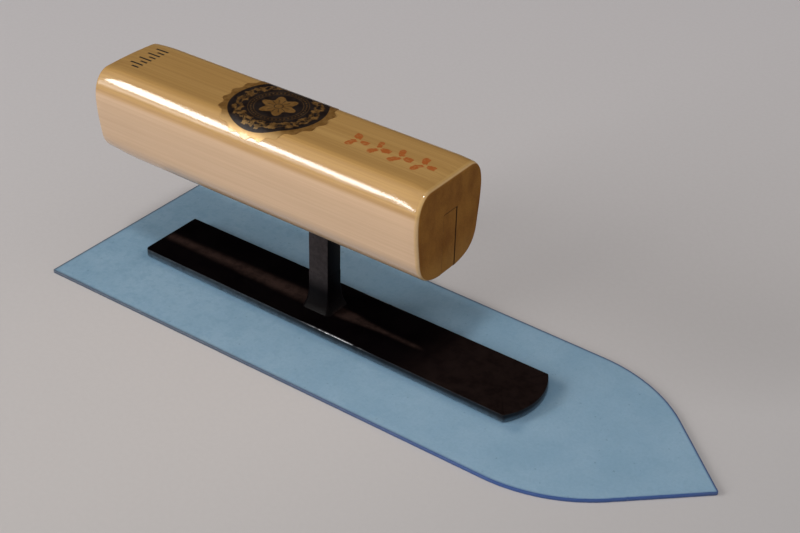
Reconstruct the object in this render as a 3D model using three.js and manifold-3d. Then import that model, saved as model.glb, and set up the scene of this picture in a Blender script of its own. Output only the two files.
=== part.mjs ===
// A flexible plastering trowel: a thin plastic blade bonded under a stiff steel bar, and a wooden grip held
// above the bar by a bent steel neck. Millimetres, +Z up, +X towards the blade's point.
// The origin is the centre of the blade's underside, on the surface that the trowel rests on.
import * as THREE from "three";
import { mergeVertices } from "three/addons/utils/BufferGeometryUtils.js";
import Module from "manifold-3d";

const wasm = await Module();
wasm.setup();

// Driving dimensions
const BLADE = {
  length: 180,
  heelWidth: 58.8,
  shoulderWidth: 55,
  thickness: 0.8,
  tipHalfAngle: THREE.MathUtils.degToRad(43),
  shoulderRadius: 40,
  heelCornerRadius: 0.5,
  tipRadius: 0.6,
};
const BOND_THICKNESS = 0.3;
const BOND_INSET = 0.4;
const BAR = {
  rearX: -75.5,
  frontX: 42.6,
  rearWidth: 19.6,
  neckWidth: 19.9,
  frontWidth: 20.1,
  offsetY: 0.6,
  noseRadius: 17,
  thickness: 2.1,
};
const CROWN = { rearX: -74, frontX: 24, halfWidth: 8.5, height: 0.3 };
const NECK = { x: -21.1, lengthX: 6.1, widthY: 5.2, cornerCut: 0.7 };
const WELD = { height: 10.4, spread: 1.9, lip: 0.3 };
const TANG = { rearX: -64, height: 5.1, topZ: 45.1, outerBend: 4, innerBend: 1.5, endScale: 0.62 };
const HANDLE = {
  rearX: -85.3,
  frontX: 15.8,
  bottomZ: 28.6,
  topZ: 54.8,
  halfWidth: 13.2,
  widestZ: 47,
  endBevel: 0.8,
};
const SLOT = { width: 5.4, topZ: 45.4 };
const FILLER_BOTTOM_STEP = 0.25;
const LABEL = { x: -35.9, offsetY: 0.9, radius: 14.2, scallops: 20, scallopDepth: 0.45, thickness: 0.15 };

// Clearances between pieces that are fitted into each other
const FIT_GAP = 0.1;
const LABEL_GAP = 0.03;

// Heights that follow from the stack of pieces
const BOND_Z = BLADE.thickness;
const BAR_Z = BOND_Z + BOND_THICKNESS;
const BAR_TOP_Z = BAR_Z + BAR.thickness;
const SEAT_Z = BAR_TOP_Z + CROWN.height;

const CURVE_STEPS = 10;
const MERGE_DISTANCE = 1e-4;
const UNIT_X = new THREE.Vector3(1, 0, 0);
const UNIT_Y = new THREE.Vector3(0, 1, 0);
const UNIT_Z = new THREE.Vector3(0, 0, 1);

const MATERIALS = {
  bluePlastic: new THREE.MeshStandardMaterial({ color: 0x6fa3c4, roughness: 0.28, metalness: 0 }),
  adhesive: new THREE.MeshStandardMaterial({ color: 0x9fb2ba, roughness: 0.6, metalness: 0 }),
  blackPaint: new THREE.MeshStandardMaterial({ color: 0x17130f, roughness: 0.38, metalness: 0.2 }),
  lacqueredWood: new THREE.MeshStandardMaterial({ color: 0xc9a26b, roughness: 0.25, metalness: 0 }),
  fillerWood: new THREE.MeshStandardMaterial({ color: 0xb98f58, roughness: 0.35, metalness: 0 }),
  goldFoil: new THREE.MeshStandardMaterial({ color: 0x8a6a2c, roughness: 0.35, metalness: 0.7 }),
};

// Solids: three.js geometry to a manifold and back

function solidOf(geometry) {
  const bare = geometry.index ? geometry.toNonIndexed() : geometry.clone();
  bare.deleteAttribute("normal");
  bare.deleteAttribute("uv");
  const merged = mergeVertices(bare, MERGE_DISTANCE);
  return new wasm.Manifold(
    new wasm.Mesh({
      numProp: 3,
      vertProperties: merged.attributes.position.array,
      triVerts: new Uint32Array(merged.index.array),
    }),
  );
}

function geometryOf(solid) {
  const mesh = solid.getMesh();
  const geometry = new THREE.BufferGeometry();
  geometry.setAttribute("position", new THREE.BufferAttribute(mesh.vertProperties, mesh.numProp));
  geometry.setIndex(new THREE.BufferAttribute(mesh.triVerts, 1));
  geometry.computeVertexNormals();
  return geometry;
}

function node(name, geometry, material) {
  const mesh = new THREE.Mesh(geometry, material.clone());
  mesh.name = name;
  return mesh;
}

// Extrusions along each axis

function extrudeUp(shape, bottomZ, topZ) {
  const settings = { depth: topZ - bottomZ, bevelEnabled: false, curveSegments: CURVE_STEPS };
  return new THREE.ExtrudeGeometry(shape, settings).translate(0, 0, bottomZ);
}

// A shape drawn in Y and Z, extruded along X. A bevel stays inside the shape's outline.
function extrudeAlongX(shape, rearX, frontX, bevel = 0) {
  const settings = {
    depth: frontX - rearX - 2 * bevel,
    bevelEnabled: bevel > 0,
    bevelThickness: bevel,
    bevelSize: bevel,
    bevelOffset: -bevel,
    bevelSegments: 2,
    curveSegments: CURVE_STEPS,
  };
  const turn = new THREE.Matrix4().makeBasis(UNIT_Y, UNIT_Z, UNIT_X);
  return new THREE.ExtrudeGeometry(shape, settings).applyMatrix4(turn).translate(rearX + bevel, 0, 0);
}

// A shape drawn in X and Z, extruded to both sides of the XZ plane.
function extrudeAcross(shape, width) {
  const settings = { depth: width, bevelEnabled: false, curveSegments: CURVE_STEPS };
  const turn = new THREE.Matrix4().makeBasis(UNIT_X, UNIT_Z, UNIT_Y.clone().negate());
  return new THREE.ExtrudeGeometry(shape, settings).applyMatrix4(turn).translate(0, width / 2, 0);
}

function boxBetween(low, high) {
  const size = high.map((value, axis) => value - low[axis]);
  const centre = high.map((value, axis) => (value + low[axis]) / 2);
  return new THREE.BoxGeometry(...size).translate(...centre);
}

// A closed outline through corners [x, y, radius], listed anticlockwise, each corner rounded to its radius.
function roundedOutline(corners) {
  const shape = new THREE.Shape();
  corners.forEach(([x, y, radius], i) => {
    const corner = new THREE.Vector2(x, y);
    const before = new THREE.Vector2(...corners.at(i - 1)).sub(corner).normalize();
    const after = new THREE.Vector2(...corners[(i + 1) % corners.length]).sub(corner).normalize();
    const halfAngle = Math.acos(before.dot(after)) / 2;
    const centre = before.clone().add(after).setLength(radius / Math.sin(halfAngle)).add(corner);
    const reach = radius / Math.tan(halfAngle);
    const from = before.clone().multiplyScalar(reach).add(corner).sub(centre);
    const to = after.clone().multiplyScalar(reach).add(corner).sub(centre);
    shape.absarc(centre.x, centre.y, radius, from.angle(), to.angle(), false);
  });
  shape.closePath();
  return shape;
}

// The blade: square heel, sides that close in slightly, rounded shoulders and a straight-edged point

function makeBlade() {
  const heelX = -BLADE.length / 2;
  const heelY = BLADE.heelWidth / 2;
  const shoulderY = BLADE.shoulderWidth / 2;
  const lostToRounding = BLADE.tipRadius * (1 / Math.sin(BLADE.tipHalfAngle) - 1);
  const sharpTipX = BLADE.length / 2 + lostToRounding;
  const shoulderX = sharpTipX - shoulderY / Math.tan(BLADE.tipHalfAngle);
  const outline = roundedOutline([
    [heelX, -heelY, BLADE.heelCornerRadius],
    [shoulderX, -shoulderY, BLADE.shoulderRadius],
    [sharpTipX, 0, BLADE.tipRadius],
    [shoulderX, shoulderY, BLADE.shoulderRadius],
    [heelX, heelY, BLADE.heelCornerRadius],
  ]);
  const blank = solidOf(extrudeUp(outline, 0, BLADE.thickness));
  return node("blade", geometryOf(blank), MATERIALS.bluePlastic);
}

// The bar's plan: slightly wider towards the front, square at the rear, with a shallow arc for a nose.
// The bar sits a little to the far side of the blade's centre line.

function barOutline(inset) {
  const rearY = BAR.rearWidth / 2 - inset;
  const neckY = BAR.neckWidth / 2 - inset;
  const frontY = BAR.frontWidth / 2 - inset;
  const radius = BAR.noseRadius - inset;
  const noseAngle = Math.asin(frontY / radius);
  const centreX = BAR.frontX - BAR.noseRadius;
  const shape = new THREE.Shape();
  shape.moveTo(BAR.rearX + inset, BAR.offsetY - rearY);
  shape.lineTo(NECK.x, BAR.offsetY - neckY);
  shape.absarc(centreX, BAR.offsetY, radius, -noseAngle, noseAngle, false);
  shape.lineTo(NECK.x, BAR.offsetY + neckY);
  shape.lineTo(BAR.rearX + inset, BAR.offsetY + rearY);
  shape.closePath();
  return shape;
}

function makeBondLayer() {
  const sheet = extrudeUp(barOutline(BOND_INSET), BOND_Z, BAR_Z);
  return node("bond_layer", geometryOf(solidOf(sheet)), MATERIALS.adhesive);
}

// A low crown runs along the bar, highest at the neck and fading out towards both ends.
// It is a spindle, flattened and half sunk into the plate, and a flat seat at its top takes the neck.
function makeMountingBar() {
  const plate = solidOf(extrudeUp(barOutline(0), BAR_Z, BAR_TOP_Z));
  const profile = [];
  const profileSteps = 2 * CURVE_STEPS;
  for (let i = 0; i <= profileSteps; i += 1) {
    const x = THREE.MathUtils.lerp(CROWN.rearX, CROWN.frontX, i / profileSteps);
    const end = x < NECK.x ? CROWN.rearX : CROWN.frontX;
    const nearness = 1 - Math.abs((x - NECK.x) / (end - NECK.x));
    profile.push(new THREE.Vector2(Math.sin((nearness * Math.PI) / 2), x));
  }
  const spindle = new THREE.LatheGeometry(profile, 4 * CURVE_STEPS)
    .rotateZ(-Math.PI / 2)
    .scale(1, CROWN.halfWidth, CROWN.height)
    .translate(0, 0, BAR_TOP_Z);
  const seatHalf = NECK.lengthX / 2 + WELD.spread;
  const seat = boxBetween(
    [NECK.x - seatHalf, -NECK.widthY / 2 - WELD.spread, (BAR_Z + BAR_TOP_Z) / 2],
    [NECK.x + seatHalf, NECK.widthY / 2 + WELD.spread, SEAT_Z],
  );
  const bar = plate.add(solidOf(spindle)).add(solidOf(seat));
  return node("mounting_bar", geometryOf(bar), MATERIALS.blackPaint);
}

// The neck and tang are one bent bar: up from the bar's seat, then back inside the grip.

function neckProfile() {
  const frontX = NECK.x + NECK.lengthX / 2;
  const rearX = NECK.x - NECK.lengthX / 2;
  const underZ = TANG.topZ - TANG.height;
  const endZ = TANG.topZ - TANG.height * (1 - TANG.endScale) * 0.5;
  const endUnderZ = endZ - TANG.height * TANG.endScale;
  const shape = new THREE.Shape();
  shape.moveTo(rearX, SEAT_Z);
  shape.lineTo(frontX, SEAT_Z);
  shape.lineTo(frontX, TANG.topZ - TANG.outerBend);
  shape.absarc(frontX - TANG.outerBend, TANG.topZ - TANG.outerBend, TANG.outerBend, 0, Math.PI / 2, false);
  shape.lineTo(TANG.rearX, endZ);
  shape.lineTo(TANG.rearX, endUnderZ);
  shape.lineTo(rearX - TANG.innerBend, underZ);
  shape.absarc(rearX - TANG.innerBend, underZ - TANG.innerBend, TANG.innerBend, Math.PI / 2, 0, true);
  shape.closePath();
  return shape;
}

function neckPlan() {
  const frontX = NECK.x + NECK.lengthX / 2;
  const rearX = NECK.x - NECK.lengthX / 2;
  const half = NECK.widthY / 2;
  const endHalf = half * TANG.endScale;
  return new THREE.Shape([
    new THREE.Vector2(TANG.rearX, -endHalf),
    new THREE.Vector2(rearX, -half),
    new THREE.Vector2(frontX - NECK.cornerCut, -half),
    new THREE.Vector2(frontX, -half + NECK.cornerCut),
    new THREE.Vector2(frontX, half - NECK.cornerCut),
    new THREE.Vector2(frontX - NECK.cornerCut, half),
    new THREE.Vector2(rearX, half),
    new THREE.Vector2(TANG.rearX, endHalf),
  ]);
}

function makeNeckTang() {
  const side = solidOf(extrudeAcross(neckProfile(), NECK.widthY));
  const plan = solidOf(extrudeUp(neckPlan(), 0, HANDLE.topZ));
  return node("neck_tang", geometryOf(side.intersect(plan)), MATERIALS.blackPaint);
}

// The weld is a four-sided foot with concave flanks, hollowed to stand around the neck.
function makeNeckWeld() {
  const halfDiagonal = Math.SQRT2;
  const profile = [new THREE.Vector2(0, 0)];
  for (let i = 0; i <= CURVE_STEPS; i += 1) {
    const rise = i / CURVE_STEPS;
    const reach = WELD.lip + (WELD.spread - WELD.lip) * (1 - rise) ** 4;
    profile.push(new THREE.Vector2((NECK.widthY / 2 + reach) * halfDiagonal, rise * WELD.height));
  }
  profile.push(new THREE.Vector2(0, WELD.height));
  const lengthRatio = (NECK.lengthX / 2 + WELD.spread) / (NECK.widthY / 2 + WELD.spread);
  const foot = new THREE.LatheGeometry(profile, 4)
    .rotateX(Math.PI / 2)
    .rotateZ(Math.PI / 4)
    .scale(lengthRatio, 1, 1)
    .translate(NECK.x, 0, SEAT_Z);
  const socket = boxBetween(
    [NECK.x - NECK.lengthX / 2 - FIT_GAP, -NECK.widthY / 2 - FIT_GAP, 0],
    [NECK.x + NECK.lengthX / 2 + FIT_GAP, NECK.widthY / 2 + FIT_GAP, HANDLE.bottomZ],
  );
  const ring = solidOf(foot).subtract(solidOf(socket));
  return node("neck_weld", geometryOf(ring), MATERIALS.blackPaint);
}

// The grip's half section, from the middle of its flat top round to the middle of its underside, in Y and Z.
// Grown outwards by a small amount, it gives the surfaces of the label that lies on it.
function gripHalfSection(grow) {
  const top = HANDLE.topZ + grow;
  const bottom = HANDLE.bottomZ - grow;
  const side = HANDLE.halfWidth + grow;
  const path = new THREE.Path();
  path.moveTo(0, top);
  path.lineTo(7.9, top);
  path.bezierCurveTo(10, top, side - 0.2, 52.5, side, HANDLE.widestZ);
  path.bezierCurveTo(side, 43.3, side - 0.45, 40.8, side - 1, 36.7);
  path.bezierCurveTo(side - 1.4, 33, 9.6, bottom + 0.5, 3, bottom);
  path.lineTo(0, bottom);
  return path;
}

function gripSection(grow) {
  const right = gripHalfSection(grow).getPoints(CURVE_STEPS);
  const left = right.slice(1, -1).reverse().map((point) => new THREE.Vector2(-point.x, point.y));
  return new THREE.Shape([...right, ...left]);
}

function gripBlank() {
  return solidOf(extrudeAlongX(gripSection(0), HANDLE.rearX, HANDLE.frontX, HANDLE.endBevel));
}

// The grip is slotted from its front end back to the neck, and bored on from there for the tang.
function makeHandleBody() {
  const slotHalf = SLOT.width / 2;
  const neckRearX = NECK.x - NECK.lengthX / 2 - FIT_GAP;
  const slot = boxBetween(
    [neckRearX, -slotHalf, HANDLE.bottomZ - 1],
    [HANDLE.frontX + 1, slotHalf, SLOT.topZ],
  );
  const bore = boxBetween(
    [TANG.rearX - 1, -slotHalf, TANG.topZ - TANG.height - TANG.innerBend - FIT_GAP],
    [neckRearX + 1, slotHalf, SLOT.topZ],
  );
  const body = gripBlank().subtract(solidOf(slot)).subtract(solidOf(bore));
  return node("handle_body", geometryOf(body), MATERIALS.lacqueredWood);
}

// A wooden strip closes the slot in front of the neck. It stops just short of the grip's underside.
function makeSlotFiller() {
  const half = SLOT.width / 2 - FIT_GAP;
  const strip = boxBetween(
    [NECK.x + NECK.lengthX / 2 + FIT_GAP, -half, HANDLE.bottomZ + FILLER_BOTTOM_STEP],
    [HANDLE.frontX, half, SLOT.topZ - FIT_GAP],
  );
  return node("slot_filler", geometryOf(solidOf(strip).intersect(gripBlank())), MATERIALS.fillerWood);
}

// The label is a scalloped foil disc, wrapped over the grip's top and both rounded shoulders.
function makeLabelSeal() {
  const halfSection = gripHalfSection(0);
  const girth = halfSection.getLength();
  const points = [];
  const steps = LABEL.scallops * 6;
  for (let i = 0; i < steps; i += 1) {
    const turn = (i / steps) * 2 * Math.PI;
    const radius = LABEL.radius + LABEL.scallopDepth * Math.cos(turn * LABEL.scallops);
    const along = LABEL.offsetY + radius * Math.sin(turn);
    const y = Math.sign(along) * halfSection.getPoint(Math.abs(along) / girth).x;
    points.push(new THREE.Vector2(LABEL.x + radius * Math.cos(turn), y));
  }
  const cutter = solidOf(extrudeUp(new THREE.Shape(points), HANDLE.widestZ, HANDLE.topZ + 1));
  const reach = LABEL.radius + 1;
  const skin = [LABEL_GAP + LABEL.thickness, LABEL_GAP].map((grow) =>
    solidOf(extrudeAlongX(gripSection(grow), LABEL.x - reach, LABEL.x + reach)),
  );
  const label = skin[0].subtract(skin[1]).intersect(cutter);
  return node("label_seal", geometryOf(label), MATERIALS.goldFoil);
}

const trowel = new THREE.Group();
trowel.add(
  makeBlade(),
  makeBondLayer(),
  makeMountingBar(),
  makeNeckTang(),
  makeNeckWeld(),
  makeHandleBody(),
  makeSlotFiller(),
  makeLabelSeal(),
);

export default trowel;
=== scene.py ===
"""A flexible plastering trowel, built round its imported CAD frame.

Metres, +Z up, +X towards the blade's point, the blade's underside at z = 0.
"""

import math

import bmesh
import bpy
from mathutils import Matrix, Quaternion, Vector, noise


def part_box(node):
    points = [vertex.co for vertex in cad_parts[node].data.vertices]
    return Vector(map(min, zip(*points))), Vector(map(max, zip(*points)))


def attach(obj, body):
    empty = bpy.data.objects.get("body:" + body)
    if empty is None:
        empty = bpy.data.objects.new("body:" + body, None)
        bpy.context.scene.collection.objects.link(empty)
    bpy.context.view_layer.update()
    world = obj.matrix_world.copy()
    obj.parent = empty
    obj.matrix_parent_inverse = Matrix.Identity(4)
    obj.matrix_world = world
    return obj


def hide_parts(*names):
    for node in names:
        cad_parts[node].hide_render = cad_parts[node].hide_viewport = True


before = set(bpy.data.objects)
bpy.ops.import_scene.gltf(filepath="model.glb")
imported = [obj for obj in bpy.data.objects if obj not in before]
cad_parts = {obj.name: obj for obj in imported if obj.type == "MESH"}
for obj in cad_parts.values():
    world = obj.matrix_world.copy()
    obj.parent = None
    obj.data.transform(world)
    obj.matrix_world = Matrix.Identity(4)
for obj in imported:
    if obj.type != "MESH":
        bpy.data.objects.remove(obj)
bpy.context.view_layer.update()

MM = 0.001
ROOT = "root"


# ------------------------------ sizes

BLADE_LOW, BLADE_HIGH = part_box("blade")
BAR_LOW, BAR_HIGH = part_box("mounting_bar")
TANG_LOW, TANG_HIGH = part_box("neck_tang")
WELD_LOW, WELD_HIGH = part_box("neck_weld")
GRIP_LOW, GRIP_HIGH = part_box("handle_body")
FILLER_LOW, FILLER_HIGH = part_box("slot_filler")
LABEL_LOW, LABEL_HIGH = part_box("label_seal")

SHOULDER_WIDTH = 55 * MM
TIP_HALF_ANGLE = math.radians(43)
SHOULDER_RADIUS = 40 * MM
HEEL_CORNER_RADIUS = 0.5 * MM
TIP_RADIUS = 0.6 * MM
BLADE_EDGE_ROUNDING = 0.1 * MM

BAR_Y = (BAR_LOW.y + BAR_HIGH.y) / 2
BAR_REAR_WIDTH = 19.6 * MM
BAR_NECK_WIDTH = 19.9 * MM
BAR_FRONT_WIDTH = 20.1 * MM
BAR_NOSE_RADIUS = 17 * MM
BAR_NEAR_CORNER_RADIUS = 1.2 * MM
BAR_FAR_CORNER_RADIUS = 0.3 * MM
BAR_EDGE_ROUNDING = 0.18 * MM
BAR_THICKNESS = 2.1 * MM
BAR_SPINE = (BAR_LOW.x + BAR_REAR_WIDTH / 2, BAR_HIGH.x - BAR_FRONT_WIDTH / 2)
CROWN_HALF_WIDTH = 8.8 * MM
CROWN_CREST = 0.8 * MM
CROWN_FRONT_X = 24 * MM
BOND_INSET = 0.4 * MM
BOND_WANDER = 0.25 * MM
BOND_BULGE = 0.05 * MM

NECK_LENGTH = 6.1 * MM
NECK_WIDTH = 5.2 * MM
NECK_ROUNDING = 0.25 * MM
NECK_FRONT_X = TANG_HIGH.x
NECK_REAR_X = NECK_FRONT_X - NECK_LENGTH
NECK_X = (NECK_FRONT_X + NECK_REAR_X) / 2
TANG_HEIGHT = 5.1 * MM
TANG_OUTER_BEND = 4 * MM
TANG_INNER_BEND = 1.5 * MM
TANG_END_SCALE = 0.62
WELD_SPREAD_SHARE = 0.8
WELD_FLANK_POWER = 4
WELD_CORNER_SHARE = 0.7
WELD_LIP = 0.06 * MM
WELD_INNER_GAP = 0.02 * MM
WELD_SINK = 0.03 * MM
FIT_GAP = 0.1 * MM
CUT_MARGIN = 1 * MM

GRIP_WIDEST_Z = 47 * MM
GRIP_WAIST_Z = 36.7 * MM
GRIP_WAIST_INSET = 1 * MM
GRIP_FLAT_HALF = 7.9 * MM
GRIP_UNDERSIDE_HALF = 3 * MM
GRIP_REAR_ROUNDING = 0.8 * MM
GRIP_FRONT_ROUNDING = 1.1 * MM
GRIP_TOP_DROP = 0.35 * MM
GRIP_REAR_ARCH = 0.22 * MM
GRIP_REAR_LIFT = 1.1 * MM
GRIP_SANDED_LENGTH = 5 * MM
GRIP_REAR_SANDED_LENGTH = 9 * MM
SLOT_HALF = 2.7 * MM
SLOT_TOP_Z = 45.4 * MM
FILLER_FAR_Y = 2.28 * MM
FILLER_GLUE_GAP = 0.02 * MM
FILLER_INSET = 0.05 * MM
FILLER_ROUNDING = 0.15 * MM
FILLER_STRAIGHT_END = 1 * MM

LABEL_RADIUS = 14.2 * MM
LABEL_SCALLOPS = 20
LABEL_SCALLOP_DEPTH = 0.45 * MM
LABEL_X = (LABEL_LOW.x + LABEL_HIGH.x) / 2
LABEL_OFFSET_Y = 0.9 * MM
LABEL_GAP = 0.03 * MM
LABEL_THICKNESS = 0.1 * MM

# Fineness of the meshes, and the flat margin inside a rounded edge, which keeps its shading off the face
BLADE_SPACING = 0.6 * MM
BAR_SPACING = 1 * MM
EDGE_MARGIN = 0.3 * MM
GRIP_END_MARGIN = 0.4 * MM
MERGE_DISTANCE = 1e-4 * MM
SHARP_ANGLE = math.radians(30)
TOP_CROWDING = 1.4


# ------------------------------ curves

def lerp(a, b, share):
    return a + (b - a) * share


def smooth(low, high, value):
    """0 below low, 1 above high, and an eased change between them."""
    share = min(1.0, max(0.0, (value - low) / (high - low)))
    return share * share * (3 - 2 * share)


def bezier(start, start_handle, end_handle, end, steps):
    """Points along a cubic curve in the plane, without its first one."""
    points = []
    for i in range(1, steps + 1):
        t = i / steps
        s = 1 - t
        weights = (s ** 3, 3 * s * s * t, 3 * s * t * t, t ** 3)
        corners = (start, start_handle, end_handle, end)
        points.append(tuple(sum(w * c[k] for w, c in zip(weights, corners)) for k in (0, 1)))
    return points


def rounding(radius, steps):
    """Steps (inset, depth) round a quarter circle, from a face inset by radius to the full outline."""
    angles = [math.pi / 2 * i / steps for i in range(steps + 1)]
    return [(radius * (1 - math.sin(a)), radius * (1 - math.cos(a))) for a in angles]


def rounded_outline(corners, spacing):
    """Points and outward normals round a convex outline.

    The corners (x, y, radius) run anticlockwise. A corner of radius 0 stays a single point.
    """
    outline = []
    for i, (x, y, radius) in enumerate(corners):
        corner = Vector((x, y))
        following = corners[(i + 1) % len(corners)]
        to_last = (Vector(corners[i - 1][:2]) - corner).normalized()
        to_next = (Vector(following[:2]) - corner).normalized()
        outward = -(to_last + to_next).normalized()
        half = to_last.angle(to_next) / 2
        centre = corner - outward * radius / math.sin(half)
        turn = math.pi - 2 * half
        steps = max(3, math.ceil(radius * turn / spacing)) if radius else 0
        middle_angle = math.atan2(outward.y, outward.x)
        for k in range(steps + 1):
            angle = middle_angle + (turn * (k / steps - 0.5) if steps else 0)
            normal = Vector((math.cos(angle), math.sin(angle)))
            outline.append((centre + normal * radius, normal))
    return fill_straights(outline, spacing)


def fill_straights(outline, spacing):
    """Adds evenly spaced points on the straight stretches of an outline."""
    filled = []
    for i, (point, normal) in enumerate(outline):
        following = outline[(i + 1) % len(outline)][0]
        filled.append((point, normal))
        run = following - point
        extra = math.ceil(run.length / spacing) - 1
        side = Vector((run.y, -run.x)).normalized()
        for k in range(1, extra + 1):
            filled.append((point.lerp(following, k / (extra + 1)), side))
    return filled


# ------------------------------ meshes

def mesh_from_rings(name, rings, closed=False, values=None):
    """A closed solid through rings of points, each as long as the last.

    It is capped at both ends, or closed on itself. values holds one number per ring for each named
    attribute. Points that fall together are joined, so a ring may shrink to a line or a point.
    """
    form = bmesh.new()
    layers = {key: form.verts.layers.float.new(key) for key in values or {}}
    rows = []
    for index, ring in enumerate(rings):
        row = [form.verts.new(point) for point in ring]
        for key, layer in layers.items():
            for vertex in row:
                vertex[layer] = values[key][index]
        rows.append(row)
    pairs = list(zip(rows, rows[1:]))
    if closed:
        pairs.append((rows[-1], rows[0]))
    count = len(rings[0])
    for row, after in pairs:
        for i in range(count):
            k = (i + 1) % count
            form.faces.new((row[i], row[k], after[k], after[i]))
    if not closed:
        form.faces.new(rows[0])
        form.faces.new(rows[-1])
    bmesh.ops.remove_doubles(form, verts=form.verts, dist=MERGE_DISTANCE)
    return piece_from_form(name, form)


def piece_from_form(name, form):
    """An object from a bmesh form, with its faces turned outwards."""
    bmesh.ops.recalc_face_normals(form, faces=form.faces)
    mesh = bpy.data.meshes.new(name)
    form.to_mesh(mesh)
    form.free()
    smooth_shading(mesh)
    return add_object(name, mesh)


def add_object(name, data):
    made = bpy.data.objects.new(name, data)
    bpy.context.scene.collection.objects.link(made)
    return made


def smooth_shading(mesh):
    mesh.shade_smooth()
    mesh.set_sharp_from_angle(angle=SHARP_ANGLE)


def slab_rings(outline, edge, spine, steps, top_height, chips=None):
    """Rings of a thin slab, from its underside round its edge to its top.

    edge holds (inset, z) from the underside to the top. The top's rings crowd at its rim and shrink
    onto the spine, a stretch of the X axis. They take their heights from top_height(x, y). chips moves
    the edge inwards.
    """
    chips = chips or [0.0] * len(outline)
    rings = []
    for inset, z in edge:
        ring = []
        for (point, normal), chip in zip(outline, chips):
            moved = point - normal * (inset + chip)
            ring.append(Vector((moved.x, moved.y, z)))
        rings.append(ring)
    inset = edge[-1][0]
    for k in range(1, steps + 1):
        ring = []
        for point, normal in outline:
            start = point - normal * inset
            end = Vector((min(max(point.x, spine[0]), spine[1]), 0))
            place = start.lerp(end, (k / steps) ** TOP_CROWDING)
            ring.append(Vector((place.x, place.y, top_height(place.x, place.y))))
        rings.append(ring)
    return rings


def rounded_rectangle(half_a, half_b, radius, steps=4):
    """Points (a, b) round a rectangle with rounded corners, anticlockwise about its centre."""
    points = []
    for quarter, (sign_a, sign_b) in enumerate(((1, 1), (-1, 1), (-1, -1), (1, -1))):
        for k in range(steps + 1):
            angle = math.pi / 2 * (quarter + k / steps)
            a = sign_a * (half_a - radius) + radius * math.cos(angle)
            b = sign_b * (half_b - radius) + radius * math.sin(angle)
            points.append((a, b))
    return points


def finish_piece(piece, node, material):
    """Gives a piece its material and its place in the frame."""
    piece.data.materials.clear()
    piece.data.materials.append(material)
    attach(piece, ROOT)
    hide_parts(node)


# ------------------------------ shader nodes

NOISE_RANGE = (0.3, 0.7)


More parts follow.
